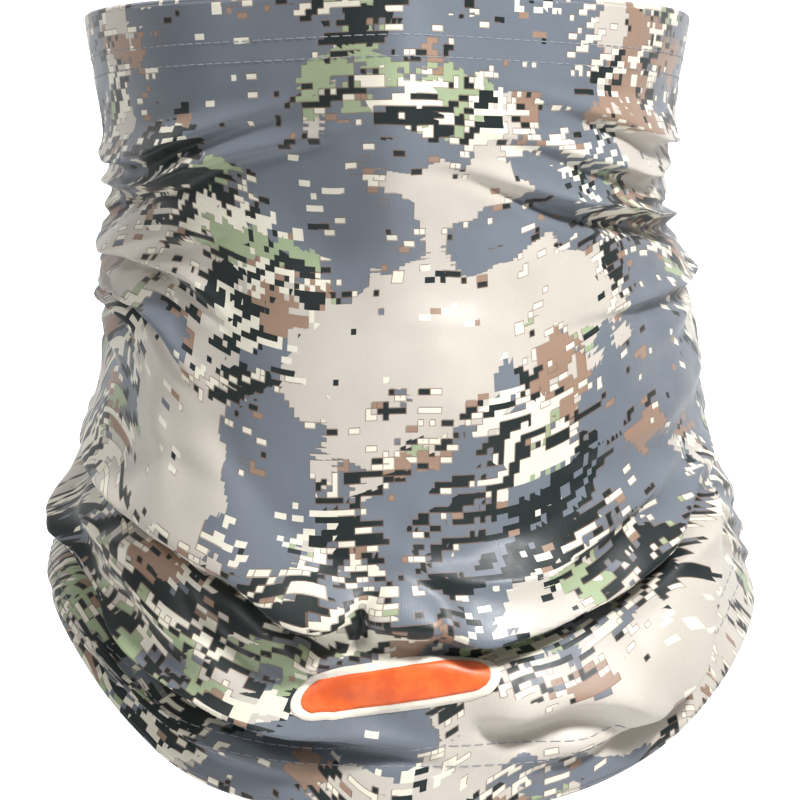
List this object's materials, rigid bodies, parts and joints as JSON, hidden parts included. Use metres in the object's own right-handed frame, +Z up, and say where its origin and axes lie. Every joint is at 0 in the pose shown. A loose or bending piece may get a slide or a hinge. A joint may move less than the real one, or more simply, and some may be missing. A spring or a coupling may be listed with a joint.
{
  "type": "neck gaiter",
  "caption": "Tube of thin stretch knit worn over the nose, cheeks and neck, with turned and stitched edges, a back seam, a loop label and a printed bar.",
  "frame": {"origin": "on the wearer's neck axis, level with the lowest point of the front hem", "axes": "+Z up along the neck axis, front of the face towards -Y, wearer's left towards +X"},
  "size_m": [0.174, 0.1868, 0.1911],
  "materials": {
    "printed_knit": "satin",
    "knit_back": "matte",
    "thread": "satin",
    "label_tape": "satin",
    "transfer_cream": "satin",
    "transfer_orange": "satin"
  },
  "bodies": {
    "root": {"tube_panel": "printed_knit", "top_hem_turning": "knit_back", "bottom_hem_turning": "knit_back", "top_hem_needle_thread_a": "thread", "top_hem_needle_thread_b": "thread", "top_hem_looper_thread": "thread", "bottom_hem_needle_thread_a": "thread", "bottom_hem_needle_thread_b": "thread", "bottom_hem_looper_thread": "thread", "back_seam_allowance": "knit_back", "back_seam_needle_thread_a": "thread", "back_seam_needle_thread_b": "thread", "back_seam_cover_thread": "thread", "care_label": "label_tape", "care_label_stitch": "thread", "transfer_backing": "transfer_cream", "transfer_face": "transfer_orange"}
  },
  "joints": []
}
